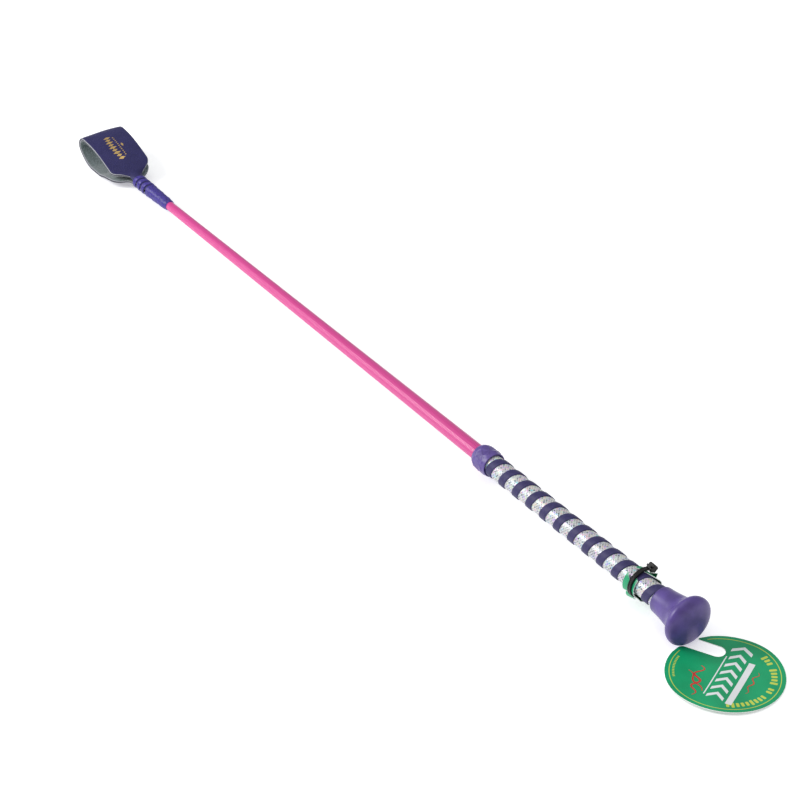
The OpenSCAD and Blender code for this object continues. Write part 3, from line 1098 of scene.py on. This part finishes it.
def make_binding():
    navy = thread("navy_thread", (0.016, 0.009, 0.13), (0.08, 0.048, 0.42))
    whipping, lashing = wind_whipping(navy), wind_lashing(navy)
    for piece in (whipping, lashing):
        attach(piece, "crop")
    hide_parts("keeper_binding")


def keeper_line():
    """The strip's middle line of [distance from the mouth, height], from end to end."""
    slope = -along.z / along.x

    def tongue(side):
        u = np.arange(-TONGUE_LEN, -1.9, 0.5)
        return np.stack([u, AXIS_DROP - u * abs(slope) + side * TONGUE_R], -1)

    upper, lower = tongue(1), tongue(-1)[::-1]
    top, low = (ROOT_U, UPPER_Z), (ROOT_U, LOWER_Z)
    parts = [
        upper,
        curve(upper[-1], (3, upper[-1][1]), (8.5, UPPER_Z - 2.1), top, 34),
        curve(top, (23.5, UPPER_Z + 3.6), (36, CROWN[1]), CROWN, 48),
        curve(CROWN, (56, CROWN[1]), (FOLD[0], 17.5), FOLD, 28),
        curve(FOLD, (FOLD[0], 8.2), (51, BED), (FLAT_U[1], BED), 30),
        curve((FLAT_U[1], BED), (39, BED), (36, BED), (FLAT_U[0], BED), 10),
        curve((FLAT_U[0], BED), (27, BED), (20, LOWER_Z - 1.2), low, 30),
        curve(low, (9.5, LOWER_Z + 0.9), (3, lower[0][1]), lower[0], 34),
        lower[1:],
    ]
    return np.vstack(parts)


def keeper_half_width(u):
    """Half of the strip's width: narrow tongues, rounded shoulders, then parallel."""
    half = KEEPER_W / 2
    root = 4.6
    shoulder = np.vstack([
        [(-30, root)], [(3, root)],
        curve((3, root), (6, root + 1), (7.5, half - 0.6), (13.5, half), 24),
        [(80, half)],
    ])
    return np.interp(u, shoulder[:, 0], shoulder[:, 1])


class Strip:
    """The folded leather: its surfaces as functions of length along it and place across it."""

    def __init__(self):
        line = keeper_line()
        self.line = line
        step = np.gradient(line, axis=0)
        step /= np.linalg.norm(step, axis=1)[:, None]
        self.normal = np.stack([-step[:, 1], step[:, 0]], -1)
        gaps = np.linalg.norm(np.diff(line, axis=0), axis=1)
        self.length = np.concatenate([[0], np.cumsum(gaps)])
        u = line[:, 0]
        self.half = keeper_half_width(u)
        self.curl = (1 - smoothstep(-1.5, 7.5, u)) / TONGUE_R + 0.006
        above = np.arange(len(u)) < np.argmax(u)
        fade = np.where(above, 1 - smoothstep(48, 61, u), 1 - smoothstep(14, 27, u))
        self.twist = 0.13 * fade * smoothstep(2, 13, u)
        self.ripple = above * smoothstep(14, 24, u)
        self.thickness = TONGUE_T + (LEATHER_T - TONGUE_T) * smoothstep(-1, 9, u)

    def at(self, rows, w, depth):
        """Points for row numbers, signed widths w and shares of the thickness (1 outside)."""
        steps = np.arange(len(self.line))
        u, z, out_u, out_z, curl, thickness, twist, ripple = (
            np.interp(rows, steps, values)
            for values in (*self.line.T, *self.normal.T, self.curl, self.thickness,
                           self.twist, self.ripple)
        )
        bend = curl * w
        out = depth * thickness / 2
        bound = 1 - smoothstep(-2.5, -0.2, u)
        angle = np.arctan2(z - AXIS_DROP, w)
        bulge = 0.42 * lash_gap(BIND_X - u, angle) * bound * (depth > 0)
        wave = 0.12 * np.sin(w / 4.1 + u / 9.0) * ripple
        shift = out * np.cos(bend) - (1 - np.cos(bend)) / curl + wave + bulge
        y = np.sin(bend) / curl + out * np.sin(bend)
        return np.stack([u + out_u * shift, y, z + out_z * shift + twist * y], -1)


def make_keeper():
    strip = Strip()
    rows = len(strip.line)
    face = np.linspace(-1, 1, 27)
    edge = [(1.0, 0.92), (1.012, 0.45), (1.015, 0.0), (1.012, -0.45), (1.0, -0.92)]
    ring = (
        [(s * 0.985, 1.0) for s in face] + edge
        + [(s * 0.985, -1.0) for s in face[::-1]]
        + [(-s, -d) for s, d in edge]
    )
    points = np.vstack([
        strip.at(np.full(len(ring), float(i)), np.array([s for s, _ in ring]) * strip.half[i],
                 np.array([d for _, d in ring]))
        for i in range(rows)
    ])
    columns = len(ring)
    faces = grid_quads(rows, columns, False, True)[0]
    caps = [list(range(columns)), list(range((rows - 1) * columns, rows * columns))]
    side = len(face) - 1
    cut = [2, 2, 3, 3, 2, 2]
    slots = ([0] * side + cut + [1] * side + cut) * (rows - 1) + [2] * len(caps)
    materials = [
        grained_leather(), suede(),
        raw_edge("leather_edge", (0.14, 0.14, 0.17), (0.42, 0.43, 0.45)),
        raw_edge("leather_core", (0.015, 0.016, 0.03), (0.06, 0.06, 0.08)),
        gold_foil(),
    ]
    points, faces, slots = add_foil(strip, points, faces.tolist() + caps, slots)
    keeper = build("keeper_leather", to_keeper(points), faces, materials, slots)
    shade_by_angle(keeper, 50)
    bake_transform(keeper)
    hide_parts("keeper_root", "keeper_loop")


def add_foil(strip, points, faces, slots):
    """A pressed foil motif on the upper side: a bowed row of lozenges over a dotted line."""
    upper = np.arange(np.argmax(strip.line[:, 0]))
    centre_u, centre_y = 31.5, -1.6
    shapes = []
    for k in range(9):
        place = (k - 4) / 4
        tall = 3.0 - 0.4 * place**2 if k % 2 == 0 else 2.1
        shapes.append((place * 11.2, 1.1 * place**2 - 1.0, 1.3, tall))
    for k in range(11):
        shapes.append(((k - 5) * 1.9, 3.8, 0.6, 0.65))
    shapes.append((0, 6.1, 1.9, 0.9))
    corners = np.array([(-1, 0), (0, -1), (1, 0), (0, 1)])
    added, new_faces, start = [], [], len(points)
    for du, dy, long, tall in shapes:
        u = centre_u + du + long * corners[:, 0]
        rows = np.interp(u, strip.line[upper, 0], upper)
        w = centre_y + dy + tall * corners[:, 1]
        for lift in (0.06, -0.1):
            added.append(strip.at(rows, w, np.full(4, 1.0 + 2 * lift / LEATHER_T)))
        new_faces += [[start, start + 1, start + 2, start + 3]]
        new_faces += [[start + 7, start + 6, start + 5, start + 4]]
        for k in range(4):
            n = (k + 1) % 4
            new_faces += [[start + k, start + 4 + k, start + 4 + n, start + n]]
        start += 8
    points = np.vstack([points] + added)
    return points, faces + new_faces, slots + [4] * len(new_faces)


# ---------- stage ----------


def make_floor():
    bpy.ops.mesh.primitive_plane_add(size=30)
    floor = bpy.context.object
    floor.name = "floor"
    floor.data.materials.append(floor_paint())


def aim(obj, place, target):
    obj.location = place
    obj.rotation_euler = (Vector(target) - Vector(place)).to_track_quat("-Z", "Y").to_euler()


def add_light(name, place, target, size, power):
    light = bpy.data.lights.new(name, "AREA")
    light.shape = "RECTANGLE"
    light.size, light.size_y = size
    light.energy = power
    aim(link(name, light), place, target)


def from_centre(azimuth, elevation, distance, centre):
    """A place seen at that azimuth and elevation, in degrees, from the centre."""
    a, e = math.radians(azimuth), math.radians(elevation)
    flat = Vector((math.sin(a), -math.cos(a), 0)) * math.cos(e)
    return centre + (flat + Vector((0, 0, math.sin(e)))) * distance


AZIMUTH, ELEVATION = 56.6, 33.0


def make_studio():
    low, high = (Vector(c) for c in cad_box)
    centre = (low + high) / 2
    lights = [
        ("key", -30, 34, 1.3, (0.6, 0.6), 12),
        ("fill", 110, 40, 1.6, (1.2, 1.2), 0.8),
        ("top", 0, 89, 1.5, (1.6, 1.0), 5),
    ]
    for name, azimuth, elevation, distance, size, power in lights:
        place = from_centre(azimuth, elevation, distance, centre)
        add_light(name, place, centre, size, power)
    world = bpy.data.worlds.new("studio")
    world.use_nodes = True
    background = world.node_tree.nodes["Background"]
    background.inputs[0].default_value = (0.97, 0.98, 1.0, 1)
    background.inputs[1].default_value = 0.5
    scene = bpy.context.scene
    scene.world = world
    scene.view_settings.view_transform = "Standard"

    camera_data = bpy.data.cameras.new("camera")
    camera_data.lens = 97
    camera_data.sensor_width = 36
    camera_data.clip_start = 0.01
    camera = link("camera", camera_data)
    target = centre + Vector((0.035, 0, -0.01))
    aim(camera, from_centre(AZIMUTH, ELEVATION, 1.25, target), target)
    scene.camera = camera


RUBBER = purple_rubber()
TICKET_CARD = printed_card("green_print", (0.001, 0.29, 0.11), (0.003, 0.38, 0.15), 0.12)
BRIGHT_CARD = printed_card("torn_print", (0.003, 0.27, 0.11), (0.008, 0.37, 0.16), 0.2)
# a darker copy of the green card: painted shade on the card's backs and on the insides of the torn
# card
CARD_BACK_PAINTED_SHADE = printed_card("card_back_painted_shade", (0.001, 0.085, 0.03), (0.003, 0.13, 0.05), 0.1)
CARD_CORE = cut_card()

make_studio()
make_floor()
make_shaft()
make_grip()
make_band()
make_collar()
make_knob()
make_tie()
make_tie_card()
make_ticket()
make_binding()
make_keeper()

for node, material in (("core_rod", fibreglass()), ("grip_tube", foam())):
    frame["nodes"][node].material_slots[0].material = material
